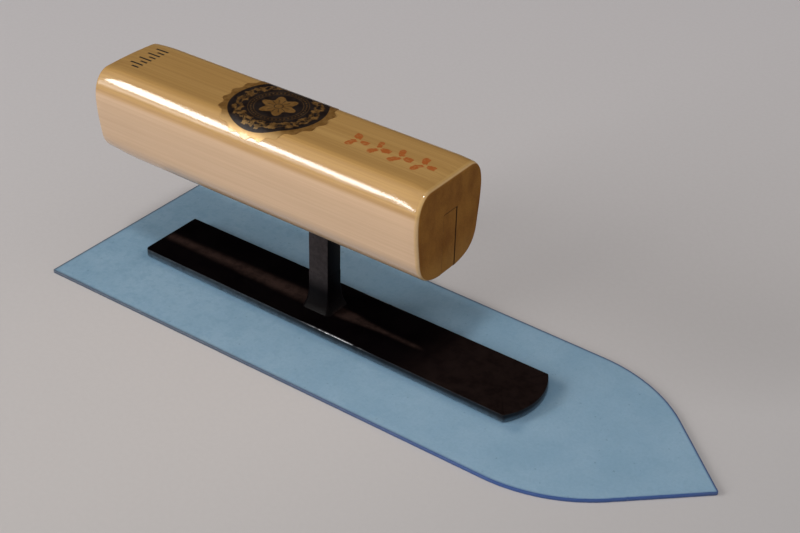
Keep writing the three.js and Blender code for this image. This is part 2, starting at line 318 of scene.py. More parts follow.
class Shader:
    """A material with one Principled surface, and short calls that add nodes and join them."""

    def __init__(self, name):
        self.material = bpy.data.materials.new(name)
        self.material.use_nodes = True
        self.tree = self.material.node_tree
        self.surface = self.tree.nodes["Principled BSDF"]
        place = self.node("ShaderNodeTexCoord").outputs["Object"]
        self.place = self.vector("SCALE", place, scale=1 / MM)
        self.x, self.y, self.z = self.node_outputs("ShaderNodeSeparateXYZ", self.place)

    def node(self, kind, **settings):
        made = self.tree.nodes.new(kind)
        for key, value in settings.items():
            setattr(made, key, value)
        return made

    def node_outputs(self, kind, *values, **settings):
        made = self.node(kind, **settings)
        for socket, value in zip(made.inputs, values):
            self.feed(socket, value)
        return tuple(made.outputs)

    def feed(self, socket, value):
        """Joins an output to a socket, or sets the socket's own value."""
        if isinstance(value, bpy.types.NodeSocket):
            self.tree.links.new(value, socket)
        else:
            socket.default_value = value

    def math(self, operation, *values):
        return self.node_outputs("ShaderNodeMath", *values, operation=operation)[0]

    def times(self, a, b):
        return self.math("MULTIPLY", a, b)

    def plus(self, a, b):
        return self.math("ADD", a, b)

    def minus(self, a, b):
        return self.math("SUBTRACT", a, b)

    def most(self, a, b):
        return self.math("MAXIMUM", a, b)

    def absolute(self, value):
        return self.math("ABSOLUTE", value)

    def vector(self, operation, a, b=None, scale=None):
        made = self.node("ShaderNodeVectorMath", operation=operation)
        self.feed(made.inputs[0], a)
        if b is not None:
            self.feed(made.inputs[1], b)
        if scale is not None:
            self.feed(made.inputs["Scale"], scale)
        return made.outputs["Value" if operation == "LENGTH" else "Vector"]

    def flat_vector(self, x, y):
        """The vector (x, y, 0)."""
        return self.node_outputs("ShaderNodeCombineXYZ", x, y)[0]

    def ease(self, value, low, high, to_low=0.0, to_high=1.0):
        """value taken from low..high to to_low..to_high with a soft start and end."""
        made = self.node("ShaderNodeMapRange", interpolation_type="SMOOTHSTEP")
        for key, number in (("Value", value), ("From Min", low), ("From Max", high),
                            ("To Min", to_low), ("To Max", to_high)):
            self.feed(made.inputs[key], number)
        return made.outputs["Result"]

    def spread(self, pattern, to_low=0.0, to_high=1.0):
        """A noise, taken from the range it mostly fills to to_low..to_high."""
        return self.ease(pattern, *NOISE_RANGE, to_low, to_high)

    def fall(self, value, low, high):
        """1 below low and 0 above high."""
        return self.ease(value, low, high, 1.0, 0.0)

    def inside(self, distance, edge, soft):
        """1 where distance is below edge, fading over soft on both sides of it."""
        return self.fall(self.minus(distance, edge), -soft, soft)

    def band(self, value, low, high, soft):
        """1 between low and high, with a fade soft wide at each."""
        rise = self.ease(value, low - soft / 2, low + soft / 2)
        return self.times(rise, self.fall(value, high - soft / 2, high + soft / 2))

    def stretched(self, x, y, z):
        """The place in millimetres with each axis scaled, for patterns that run along one way."""
        return self.vector("MULTIPLY", self.place, (x, y, z))

    def noise(self, scale, detail=2.0, roughness=0.5, place=None):
        made = self.node("ShaderNodeTexNoise")
        self.feed(made.inputs["Vector"], place or self.place)
        self.feed(made.inputs["Scale"], scale)
        self.feed(made.inputs["Detail"], detail)
        self.feed(made.inputs["Roughness"], roughness)
        return made.outputs["Fac"]

    def attribute(self, name):
        return self.node("ShaderNodeAttribute", attribute_name=name).outputs["Fac"]

    def mix(self, share, a, b, data_type="RGBA", socket_type="RGBA"):
        made = self.node("ShaderNodeMix", data_type=data_type)
        sockets = [s for s in made.inputs if s.type == socket_type and s.name in ("A", "B")]
        self.feed(made.inputs["Factor"], share)
        self.feed(sockets[0], a)
        self.feed(sockets[1], b)
        return next(s for s in made.outputs if s.type == socket_type)

    def mix_values(self, share, a, b):
        return self.mix(share, a, b, "FLOAT", "VALUE")

    def bump(self, height, distance):
        """Raises the surface by height times distance, in metres."""
        made = self.node("ShaderNodeBump")
        self.feed(made.inputs["Height"], height)
        made.inputs["Distance"].default_value = distance
        self.feed(self.surface.inputs["Normal"], made.outputs["Normal"])
        self.feed(self.surface.inputs["Coat Normal"], made.outputs["Normal"])

    def set(self, **values):
        """Sets or joins sockets of the Principled surface, named with _ for each space."""
        for key, value in values.items():
            self.feed(self.surface.inputs[key.replace("_", " ")], value)


def shade(red, green, blue):
    return (red, green, blue, 1.0)


# ------------------------------ materials

# Inside a material lengths are in millimetres, and a noise's scale is in waves per millimetre.
BAR_REAR, BAR_FRONT = BAR_LOW.x / MM, BAR_HIGH.x / MM
BAR_UNDERSIDE = BAR_LOW.z / MM
NECK_REAR, NECK_FRONT = NECK_REAR_X / MM, NECK_FRONT_X / MM
GRIP_REAR, GRIP_FRONT = GRIP_LOW.x / MM, GRIP_HIGH.x / MM
# Heights over which a colour changes: up the lower sides, over the shoulders, and onto the flat top
LOWER_SIDE = (30.0, 38.0)
SHOULDER = (48.0, 50.0)
FLAT_TOP = (53.5, 54.0)


def blue_plastic():
    """Cloudy translucent sheet, mottled; painted shadow beside the bar; cut rim grey-blue to saturated blue.
    """
    deep_blue, pale_blue = shade(0.272, 0.438, 0.582), shade(0.313, 0.48, 0.625)
    smudge_blue, speck_blue = shade(0.178, 0.335, 0.48), shade(0.17, 0.31, 0.43)
    spot_blue, painted_shadow_blue = shade(0.12, 0.22, 0.33), shade(0.10, 0.22, 0.35)
    rim_grey, rim_saturated = shade(0.075, 0.105, 0.15), shade(0.042, 0.098, 0.29)
    scratch_white = shade(0.38, 0.52, 0.63)
    painted_shadow_width, painted_shadow_share = 3.0, 0.4

    s = Shader("blue_plastic")
    clouds = s.noise(0.07, detail=3.0)
    mottle = s.noise(0.5, detail=3.0, roughness=0.6)
    body = s.mix(s.spread(clouds), deep_blue, pale_blue)
    rearward = s.ease(s.x, -80.0, 60.0, 1.0, 0.4)
    smudges = s.times(s.ease(mottle, 0.42, 0.72), s.times(rearward, 0.4))
    body = s.mix(smudges, body, smudge_blue)
    specks = s.noise(1.3, detail=3.0, roughness=0.7)
    body = s.mix(s.spread(specks, 0.0, 0.2), body, speck_blue)
    spots = s.ease(s.noise(0.9), 0.7, 0.76)
    body = s.mix(s.times(spots, 0.45), body, spot_blue)

    # Painted shadow: a darker halo beside the bar, for the bar's shadow seen through the sheet
    past_ends = s.most(s.minus(s.x, BAR_FRONT), s.minus(BAR_REAR, s.x))
    from_middle = s.absolute(s.minus(s.y, BAR_Y / MM))
    past_side = s.minus(from_middle, BAR_NECK_WIDTH / 2 / MM)
    gap = s.vector("LENGTH", s.flat_vector(s.most(past_ends, 0.0), s.most(past_side, 0.0)))
    body = s.mix(s.ease(gap, 0.0, painted_shadow_width, painted_shadow_share, 0.0), body, painted_shadow_blue)

    rim = s.attribute("rim")
    saturated = s.times(s.ease(s.x, -40.0, 70.0), s.ease(s.y, -6.0, 2.0, 1.0, 0.6))
    rim_blue = s.mix(saturated, rim_grey, rim_saturated)
    body = s.mix(s.ease(rim, 0.2, 0.8), body, rim_blue)

    streaks = s.noise(1.0, place=s.stretched(0.05, 1.6, 1.0))
    scratches = s.ease(streaks, 0.68, 0.74)
    grain = s.noise(6.0)
    s.set(Base_Color=s.mix(s.times(scratches, 0.12), body, scratch_white),
          Roughness=s.plus(s.spread(mottle, 0.30, 0.42), s.times(scratches, 0.1)),
          Subsurface_Weight=0.15,
          Subsurface_Radius=(0.8, 1.2, 1.6),
          Subsurface_Scale=MM)
    s.bump(s.plus(grain, s.times(scratches, -0.6)), 0.004 * MM)
    return s.material


def adhesive():
    """The pale milky line of adhesive under the bar."""
    dull, milky = shade(0.15, 0.23, 0.29), shade(0.22, 0.32, 0.38)

    s = Shader("adhesive")
    patches = s.noise(0.8, detail=3.0)
    s.set(Base_Color=s.mix(s.ease(patches, 0.35, 0.65), dull, milky),
          Roughness=s.spread(patches, 0.35, 0.6))
    s.bump(patches, 0.02 * MM)
    return s.material


def black_paint():
    """Baked black paint on forged steel, worn to bare steel round the bar's sides; painted reflections and
    glints.
    """
    deep_black, soft_black = shade(0.0012, 0.0006, 0.0009), shade(0.0022, 0.0013, 0.0016)
    crest_sheen_brown, side_sheen_grey = shade(0.046, 0.028, 0.0235), shade(0.037, 0.0305, 0.031)
    rear_steel, front_steel = shade(0.043, 0.055, 0.065), shade(0.02, 0.026, 0.032)
    blade_reflection_blue, glint_steel = shade(0.165, 0.235, 0.29), shade(0.42, 0.43, 0.45)
    crest_to_near_side = 0.4

    s = Shader("black_paint")
    peel = s.noise(1.1)
    patches = s.noise(0.16, detail=3.0)
    paint = s.mix(s.ease(patches, 0.35, 0.65), deep_black, soft_black)

    # Painted reflection and light: a brown sheen on the crest, a highlight line in front of the neck, and the
    # lit flat nose
    from_crest = s.absolute(s.plus(s.y, crest_to_near_side))
    behind_neck = s.band(s.x, BAR_REAR + 0.5, NECK_REAR - 1.0, 1.5)
    crest_half = s.ease(s.x, BAR_REAR, NECK_REAR, 0.9, 1.9)
    crest = s.fall(s.minus(from_crest, crest_half), -1.3, 1.6)
    crest = s.times(crest, behind_neck)
    line_half = s.ease(s.x, NECK_FRONT, 0.0, 2.4, 0.9)
    front_highlight_line = s.ease(s.minus(from_crest, line_half), -1.1, 0.4, 0.8, 0.0)
    front_highlight_line = s.times(front_highlight_line, s.band(s.x, NECK_FRONT + 2.0, 9.0, 5.0))
    lit_flat_nose = s.ease(s.x, 4.0, 22.0, 0.0, 0.24)
    on_bar = s.fall(s.z, 3.7, 4.3)
    brown = s.most(s.most(crest, front_highlight_line), lit_flat_nose)
    blotches = s.noise(0.45, detail=4.0, roughness=0.65)
    brown = s.times(brown, s.ease(blotches, 0.32, 0.62, 0.5, 1.0))
    paint = s.mix(s.times(brown, on_bar), paint, crest_sheen_brown)

    # Painted sheen: grey on the neck's sides, where the window light falls, fading out towards the foot
    normal = s.node("ShaderNodeNewGeometry").outputs["Normal"]
    sideways = s.absolute(s.node_outputs("ShaderNodeSeparateXYZ", normal)[1])
    forged = s.ease(s.noise(0.9, detail=4.0, roughness=0.7), 0.35, 0.65, 0.65, 1.0)
    side_sheen = s.times(s.ease(sideways, 0.55, 0.9), s.ease(s.z, 8.5, 14.0))
    paint = s.mix(s.times(side_sheen, forged), paint, side_sheen_grey)

    # Bare steel round the bar's sides, with a painted glint on its top edge beside the neck and a painted
    # reflection of the blue blade low down
    edge, crease = s.attribute("edge"), s.attribute("crease")
    wear = s.noise(0.35, detail=4.0, roughness=0.7)
    beside_neck = s.band(s.x, -18.0, -4.0, 10.0)
    worn_glint = s.times(crease, s.times(beside_neck, s.ease(wear, 0.3, 0.55)))
    bare = s.most(worn_glint, s.times(edge, s.ease(wear, 0.3, 0.6, 0.5, 1.0)))
    low_reflection = s.fall(s.z, BAR_UNDERSIDE - 0.2, BAR_UNDERSIDE + 1.5)
    steel = s.mix(s.ease(s.x, -45.0, -20.0), rear_steel, front_steel)
    steel = s.mix(low_reflection, steel, blade_reflection_blue)
    steel = s.mix(worn_glint, steel, glint_steel)
    s.set(Base_Color=s.mix(bare, paint, steel),
          Metallic=s.times(bare, 0.85),
          Roughness=s.plus(s.spread(patches, 0.30, 0.38), s.times(bare, 0.06)),
          Specular_IOR_Level=0.05)
    s.bump(peel, 0.012 * MM)
    return s.material


def lacquered_wood(name, printed=False):
    """Pale straight-grained wood under clear lacquer: golden on top, the sides paler with painted sheen,
    brown at its raw ends.

    The printed one also has ink marks on its top, and painted shade on the walls of the slot.
    """
    top_dark, top_pale = shade(0.50, 0.293, 0.094), shade(0.575, 0.35, 0.119)
    sheen_side_dark, sheen_side_pale = shade(0.625, 0.432, 0.268), shade(0.665, 0.458, 0.288)
    lower_grey, shoulder_shade_brown = shade(0.33, 0.26, 0.22), shade(0.42, 0.23, 0.07)
    grain_brown, far_shade_grey = shade(0.27, 0.13, 0.042), shade(0.11, 0.09, 0.085)
    edge_highlight_gold, slot_shade_brown = shade(0.66, 0.42, 0.15), shade(0.07, 0.032, 0.012)
    red_ink, black_ink = shade(0.45, 0.105, 0.018), shade(0.03, 0.024, 0.02)
    raw_roughness = 0.85

    s = Shader(name)
    bands, streaks, fibres = wood_grain(s)
    top = s.mix(bands, top_dark, top_pale)
    # Painted sheen: the sides are paler than the top, as the window light makes them look
    side = s.mix(bands, sheen_side_dark, sheen_side_pale)
    lower_side = s.ease(s.z, *LOWER_SIDE, 0.3, 0.0)
    colour = s.mix(s.ease(s.z, *SHOULDER), side, top)
    colour = s.mix(lower_side, colour, lower_grey)
    # Painted shade: a darker brown line along the shoulder, below the highlight
    shoulder_shade_line = s.band(s.z, 48.9, 49.9, 0.8)
    colour = s.mix(s.times(shoulder_shade_line, 0.45), colour, shoulder_shade_brown)
    dark_grain = s.times(s.minus(1.0, streaks), s.ease(s.z, *SHOULDER, 0.15, 0.27))
    colour = s.mix(dark_grain, colour, grain_brown)
    # Painted shade: a grey line along the far edge of the top
    far_shade_line = s.times(s.band(s.y, 9.7, 11.0, 0.5), s.ease(s.z, 50.0, 52.0))
    colour = s.mix(s.times(far_shade_line, 0.6), colour, far_shade_grey)

    at_front = s.ease(s.x, GRIP_FRONT - 0.25, GRIP_FRONT - 0.08)
    at_end = s.most(at_front, s.fall(s.x, GRIP_REAR + 0.1, GRIP_REAR + 0.4))
    end = end_grain(s)
    # The sanded edge round the front end, lightened by a painted highlight
    broken_edge_highlight = s.ease(s.x, GRIP_FRONT - 1.2, GRIP_FRONT - 0.7)
    colour = s.mix(s.times(broken_edge_highlight, 0.55), colour, edge_highlight_gold)
    colour = s.mix(at_end, colour, end)
    if printed:
        # Painted shade on the slot's walls, in the gap beside the filler strip
        colour = s.mix(slot_walls(s), colour, slot_shade_brown)
        colour = s.mix(leaf_sprigs(s), colour, red_ink)
        colour = s.mix(size_ticks(s), colour, black_ink)

    gloss = s.spread(fibres, 0.38, 0.5)
    s.set(Base_Color=colour,
          Roughness=s.mix_values(at_end, gloss, raw_roughness),
          Coat_Weight=s.minus(1.0, at_end),
          Coat_Roughness=0.09,
          Coat_IOR=1.64,
          Specular_IOR_Level=0.15)
    waves = s.noise(0.8, place=s.stretched(0.12, 1.0, 1.0))
    peel = s.times(s.noise(1.7, roughness=0.6), 0.45)
    s.bump(s.plus(s.plus(s.times(fibres, 0.35), waves), peel), 0.02 * MM)
    return s.material


def wood_grain(s):
    """Grain along X: faint wide bands and fine streaks, each from 0 to 1, and the noise of the fibres."""
    bands = s.noise(0.22, place=s.stretched(0.03, 1.0, 1.0))
    streaks = s.noise(1.3, detail=4.0, roughness=0.7, place=s.stretched(0.012, 1.0, 1.0))
    fibres = s.noise(4.5, roughness=0.6, place=s.stretched(0.02, 1.0, 1.0))
    return s.spread(bands), s.ease(streaks, 0.32, 0.68), fibres


def end_grain(s):
    """The brown, porous wood of a raw end, made a little paler low down by painted light bounced from the
    floor.
    """
    end_dark, end_pale = shade(0.20, 0.076, 0.012), shade(0.285, 0.125, 0.021)
    floor_bounce_gold = shade(0.35, 0.18, 0.045)
    pore_brown, fleck_gold = shade(0.085, 0.034, 0.009), shade(0.43, 0.225, 0.055)
    clouds = s.noise(0.2, detail=4.0, roughness=0.6, place=s.stretched(1.0, 1.0, 0.6))
    end = s.mix(s.spread(clouds), end_dark, end_pale)
    # Painted bounce light from the floor, paler low down
    end = s.mix(s.ease(s.z, *LOWER_SIDE, 0.5, 0.0), end, floor_bounce_gold)
    pores = s.noise(2.6, detail=3.0, roughness=0.7)
    end = s.mix(s.ease(pores, 0.5, 0.75, 0.0, 0.4), end, pore_brown)
    return s.mix(s.ease(pores, 0.45, 0.25, 0.0, 0.3), end, fleck_gold)


def slot_walls(s):
    """1 on the walls of the slot from the neck forwards, and 0 elsewhere."""
    half, top = SLOT_HALF / MM, SLOT_TOP_Z / MM
    walls = s.times(s.band(s.y, -half - 0.05, half + 0.05, 0.05), s.fall(s.z, top, top + 0.2))
    return s.times(walls, s.ease(s.x, NECK_REAR - 0.2, NECK_REAR))


def leaf_sprigs(s):
    """Four small three-leaved sprigs along the top, each turned its own way, as plain decoration."""
    first_x, last_x, pitch = -13.8, 11.4, 6.3
    middle_y = -0.45
    wander_reach = 1.8
    leaf_length, leaf_slimness = 3.5, 1.9
    half_of_three_leaves = 1.5
    turn_between = 2.1
    soft = 0.22
    wander = s.flat_vector(s.noise(0.5), s.noise(0.45))
    wander = s.vector("SCALE", s.vector("SUBTRACT", wander, (0.5, 0.5, 0.0)), scale=wander_reach)
    steps = s.math("DIVIDE", s.minus(s.x, first_x), pitch)
    along = s.times(s.minus(s.math("FRACT", steps), 0.5), pitch)
    place = s.vector("ADD", s.flat_vector(along, s.minus(s.y, middle_y)), wander)
    place_x, place_y = s.node_outputs("ShaderNodeSeparateXYZ", place)[:2]
    radius = s.vector("LENGTH", place)
    angle = s.math("ARCTAN2", place_y, place_x)
    turned = s.plus(angle, s.times(s.math("FLOOR", steps), turn_between))
    leaf = s.absolute(s.math("COSINE", s.times(turned, half_of_three_leaves)))
    reach = s.times(s.math("POWER", leaf, leaf_slimness), leaf_length)
    sprigs = s.inside(radius, reach, soft)
    sprigs = s.times(sprigs, s.ease(radius, 0.35, 0.7))
    sprigs = s.times(sprigs, s.band(s.x, first_x, last_x, 0.2))
    sprigs = s.times(sprigs, s.ease(s.z, *FLAT_TOP))
    dry = s.ease(s.noise(1.6, detail=3.0), 0.3, 0.55, 0.5, 0.9)
    return s.times(sprigs, dry)


def size_ticks(s):
    """A short printed scale of plain ticks across the rear of the top, every second one shorter."""
    low_y, high_y, pitch = -5.7, 6.7, 1.55
    foot_x, short_x, long_x = -77.1, -79.4, -81.3
    soft = 0.1
    steps = s.math("DIVIDE", s.minus(s.y, low_y), pitch)
    line = s.band(s.math("FRACT", steps), 0.28, 0.66, soft)
    odd = s.math("MODULO", s.math("FLOOR", steps), 2.0)
    reach = s.plus(s.times(odd, long_x - short_x), short_x)
    past_end = s.ease(s.minus(s.x, reach), -soft, soft)
    before_foot = s.fall(s.x, foot_x - soft, foot_x + soft)
    ticks = s.times(line, s.times(past_end, before_foot))
    ticks = s.times(ticks, s.band(s.y, low_y, high_y, soft))
    return s.times(ticks, s.ease(s.z, *FLAT_TOP))


def foil_label():
    """Gold foil printed black: a rosette, a ring of dots, a twisting band of strands and a bare rim, with a
    painted highlight.
    """
    dark_gold, bright_gold = shade(0.25, 0.12, 0.027), shade(0.34, 0.18, 0.05)
    lit_gold = shade(0.62, 0.40, 0.15)
    deep_print, worn_print = shade(0.011, 0.0062, 0.005), shade(0.019, 0.012, 0.0095)
    petal_radius, petal_depth = 4.1, 0.9
    band_radius, band_depth = 9.8, 1.0
    printed_radius = 12.3

    s = Shader("foil_label")
    u, v = s.attribute("disc_x"), s.attribute("disc_y")
    radius = s.vector("LENGTH", s.flat_vector(u, v))
    angle = s.math("ARCTAN2", v, u)
    wear = s.noise(0.9, detail=3.0)

    def line_at(where, half_width, soft=0.12):
        away = s.absolute(s.minus(radius, where))
        return s.inside(away, half_width, soft)

    def wave(count, shift=0.0):
        return s.math("SINE", s.plus(s.times(angle, float(count)), shift))

    petals = s.plus(petal_radius, s.times(wave(6, math.pi / 2), petal_depth))
    rosette = s.inside(radius, petals, 0.15)
    veins = s.times(s.ease(wave(12), 0.8, 1.0), s.band(radius, 1.4, 3.2, 0.3))
    veins = s.most(veins, line_at(1.1, 0.12))
    rosette = s.times(rosette, s.minus(1.0, veins))
    rings = s.most(line_at(6.1, 0.05), line_at(7.5, 0.05))
    dots = s.times(line_at(6.8, 0.16), s.ease(wave(44), -0.2, 0.4))

    crumple = s.noise(0.55, detail=3.0, roughness=0.6)
    curl = s.times(s.minus(crumple, 0.5), 7.0)
    strands = 0.0
    for turns, shift in ((8, 0.0), (8, math.pi), (11, 1.3)):
        middle = s.plus(band_radius, s.times(wave(turns, s.plus(curl, shift)), band_depth))
        from_middle = s.absolute(s.minus(radius, middle))
        thick = s.plus(0.16, s.times(s.ease(wave(2 * turns + 1, curl), 0.2, 1.0), 0.5))
        strand = s.inside(from_middle, thick, 0.2)
        strands = s.most(strands, strand)
    strands = s.times(strands, s.ease(wear, 0.3, 0.62, 0.4, 1.0))

    rim = s.ease(radius, printed_radius, printed_radius + 0.2)
    marks = s.most(s.times(dots, 0.5), s.times(strands, 0.75))
    marks = s.most(marks, s.times(rings, 0.45))
    marks = s.most(marks, s.times(rosette, 0.85))
    gold = s.most(rim, marks)

    foil = s.mix(s.spread(wear), dark_gold, bright_gold)
    # Painted highlight: paler gold where the foil wraps over the near shoulder
    shoulder_highlight = s.ease(v, -12.5, -8.0, 0.8, 0.0)
    foil = s.mix(shoulder_highlight, foil, lit_gold)
    print_black = s.mix(s.ease(wear, 0.35, 0.65), deep_print, worn_print)
    s.set(Base_Color=s.mix(gold, print_black, foil),
          Metallic=s.times(gold, 0.35),
          Roughness=s.spread(wear, 0.32, 0.45),
          Coat_Weight=0.5,
          Coat_Roughness=0.05)
    s.bump(s.plus(s.times(gold, 0.3), s.times(wear, 0.8)), 0.03 * MM)
    return s.material


def floor_paper():
    """Pale matt paper with painted light falloff, darker on the trowel's near side, and a painted soft shadow
    past its point.
    """
    dim_near_grey, lit_far_white = shade(0.59, 0.575, 0.565), shade(0.70, 0.69, 0.71)
    shadow_grey, fleck_grey = shade(0.46, 0.465, 0.485), shade(0.5, 0.48, 0.47)

    s = Shader("floor_paper")
    back = s.minus(s.times(s.y, 0.8), s.times(s.x, 0.6))
    # Painted light falloff: brighter towards the far left, dimmer towards the near side
    colour = s.mix(s.ease(back, -200.0, 350.0), dim_near_grey, lit_far_white)
    towards_point = s.minus(s.x, s.times(s.y, 0.5))
    # Painted soft shadow of the trowel, cast past its point by the window
    colour = s.mix(s.ease(towards_point, 0.0, 150.0, 0.0, 0.5), colour, shadow_grey)
    fine = s.noise(0.8, detail=3.0)
    s.set(Base_Color=s.mix(s.spread(fine, 0.0, 0.06), colour, fleck_grey),
          Roughness=s.spread(fine, 0.75, 0.9),
          Specular_IOR_Level=0.2)
    s.bump(fine, 0.01 * MM)
    return s.material


# ------------------------------ pieces

def make_blade():
    """The thin sheet: square heel, rounded shoulders and a straight-edged point, its rim slightly chipped."""
    lost_to_rounding = TIP_RADIUS * (1 / math.sin(TIP_HALF_ANGLE) - 1)
    tip_x = BLADE_HIGH.x + lost_to_rounding
    shoulder_y = SHOULDER_WIDTH / 2
    shoulder_x = tip_x - shoulder_y / math.tan(TIP_HALF_ANGLE)
    outline = rounded_outline([
        (BLADE_LOW.x, BLADE_LOW.y, HEEL_CORNER_RADIUS),
        (shoulder_x, -shoulder_y, SHOULDER_RADIUS),
        (tip_x, 0, TIP_RADIUS),
        (shoulder_x, shoulder_y, SHOULDER_RADIUS),
        (BLADE_LOW.x, BLADE_HIGH.y, HEEL_CORNER_RADIUS),
    ], BLADE_SPACING)
    chips = [rim_chip(point) for point, _ in outline]
    top_z = BLADE_HIGH.z
    corner = rounding(BLADE_EDGE_ROUNDING, steps=3)
    edge = rounded_edge(corner, BLADE_EDGE_ROUNDING, BLADE_LOW.z, top_z)
    spine = (BLADE_LOW.x + shoulder_y, shoulder_x)
    steps = 10
    rings = slab_rings(outline, edge, spine, steps, lambda x, y: top_z, chips)
    inside_rim = 0.5
    rim = [0.0] + [1.0] * (2 * len(corner)) + [inside_rim] + [0.0] * steps
    blade = mesh_from_rings("plastic_blade", rings, values={"rim": rim})
    finish_piece(blade, "blade", blue_plastic())


def rounded_edge(corner, radius, low_z, high_z):
    """A slab's edge as (inset, z), rounded at both faces, with a flat margin inside each."""
    edge = [(radius + EDGE_MARGIN, low_z)]
    edge += [(inset, low_z + depth) for inset, depth in corner]
    edge += [(inset, high_z - depth) for inset, depth in reversed(corner)]
    edge += [(radius + EDGE_MARGIN, high_z)]
    return edge


def rim_chip(point):
    """How far the cut rim is worn in at a point: hardly at all, but chipped beside the point's near edge."""
    wear_depth, chip_depth = 0.04, 0.14
    wear_scale, chip_scale = 0.9, 1.3
    far_share = 0.15
    x, y = point.x / MM, point.y / MM
    wear = max(0.0, noise.noise((x * wear_scale, y * wear_scale, 3.1)) + 0.2)
    chipped = smooth(60, 66, x) * (1 - smooth(74, 79, x)) * (1 if y < 0 else far_share)
    tooth = max(0.0, noise.noise((x * chip_scale, y * chip_scale, 8.4)) + 0.1)
    return (wear_depth * wear + chip_depth * chipped * tooth) * MM


def bar_outline(inset=0.0, wander=0.0):
    """The bar's plan: square at the rear, widening slightly to a nose that is a shallow arc.

    inset shrinks it evenly, and wander unevenly.
    """
    wander_scale = 0.4
    nose_angle = math.asin(BAR_FRONT_WIDTH / 2 / BAR_NOSE_RADIUS)
    nose_centre = BAR_HIGH.x - BAR_NOSE_RADIUS
    near = [
        (BAR_LOW.x, BAR_Y - BAR_REAR_WIDTH / 2, BAR_NEAR_CORNER_RADIUS),
        (NECK_X, BAR_Y - BAR_NECK_WIDTH / 2, 0),
    ]
    far = [
        (NECK_X, BAR_Y + BAR_NECK_WIDTH / 2, 0),
        (BAR_LOW.x, BAR_Y + BAR_REAR_WIDTH / 2, BAR_FAR_CORNER_RADIUS),
    ]
    arc_steps = 16
    nose = []
    for k in range(arc_steps + 1):
        angle = nose_angle * (2 * k / arc_steps - 1)
        corner_radius = BAR_FAR_CORNER_RADIUS if k in (0, arc_steps) else 0
        nose.append((nose_centre + BAR_NOSE_RADIUS * math.cos(angle),
                     BAR_Y + BAR_NOSE_RADIUS * math.sin(angle), corner_radius))
    outline = rounded_outline(near + nose + far, BAR_SPACING)
    shrunk = []
    for point, normal in outline:
        x, y = point.x / MM * wander_scale, point.y / MM * wander_scale
        drift = wander * noise.noise((x, y, 1.7))
        shrunk.append((point - normal * (inset + drift), normal))
    return shrunk


def crown_height(x, y):
    """The low ridge on the bar: rounded crest, straight flanks, highest at the neck."""
    if x < NECK_X:
        reach = (x - BAR_LOW.x) / (NECK_X - BAR_LOW.x)
    else:
        reach = (CROWN_FRONT_X - x) / (CROWN_FRONT_X - NECK_X)
    rise = (BAR_HIGH.z - BAR_LOW.z - BAR_THICKNESS) * math.sin(max(0.0, min(1.0, reach)) * math.pi / 2)
    fall = math.hypot(y, CROWN_CREST) - CROWN_CREST
    full_fall = math.hypot(CROWN_HALF_WIDTH, CROWN_CREST) - CROWN_CREST
    share = max(0.0, 1 - fall / full_fall)
    return rise * share


def bar_top(x, y):
    return BAR_LOW.z + BAR_THICKNESS + crown_height(x, y)


def make_bar(paint):
    """The stiff bar: rounded edges, a low crown, and attributes for where its paint wears off and its top
    edge takes a painted glint.
    """
    corner = rounding(BAR_EDGE_ROUNDING, steps=4)
    edge = rounded_edge(corner, BAR_EDGE_ROUNDING, BAR_LOW.z, BAR_LOW.z + BAR_THICKNESS)
    steps = 18
    rings = slab_rings(bar_outline(), edge, BAR_SPINE, steps, bar_top)
    fading = [1 - k / (len(corner) - 1) for k in range(len(corner))]
    worn = [0.0] + [1.0] * len(corner) + fading + [0.0] * (steps + 1)
    crease = [0.0] * (2 + len(corner)) + [1.0] * (len(corner) - 1) + [0.0] * (steps + 1)
    bar = mesh_from_rings("steel_mounting_bar", rings, values={"edge": worn, "crease": crease})
    finish_piece(bar, "mounting_bar", paint)


def make_bond_layer():
    """Adhesive that stops just short of the bar's edge, and not quite evenly."""
    outline = bar_outline(BOND_INSET, BOND_WANDER)
    low_z, high_z = BLADE_HIGH.z, BAR_LOW.z
    edge = [
        (EDGE_MARGIN, low_z),
        (BOND_BULGE, low_z),
        (0.0, (low_z + high_z) / 2),
        (BOND_BULGE, high_z),
        (EDGE_MARGIN, high_z),
    ]
    steps = 4
    rings = slab_rings(outline, edge, BAR_SPINE, steps, lambda x, y: high_z)
    bond = mesh_from_rings("adhesive_layer", rings)
    finish_piece(bond, "bond_layer", adhesive())


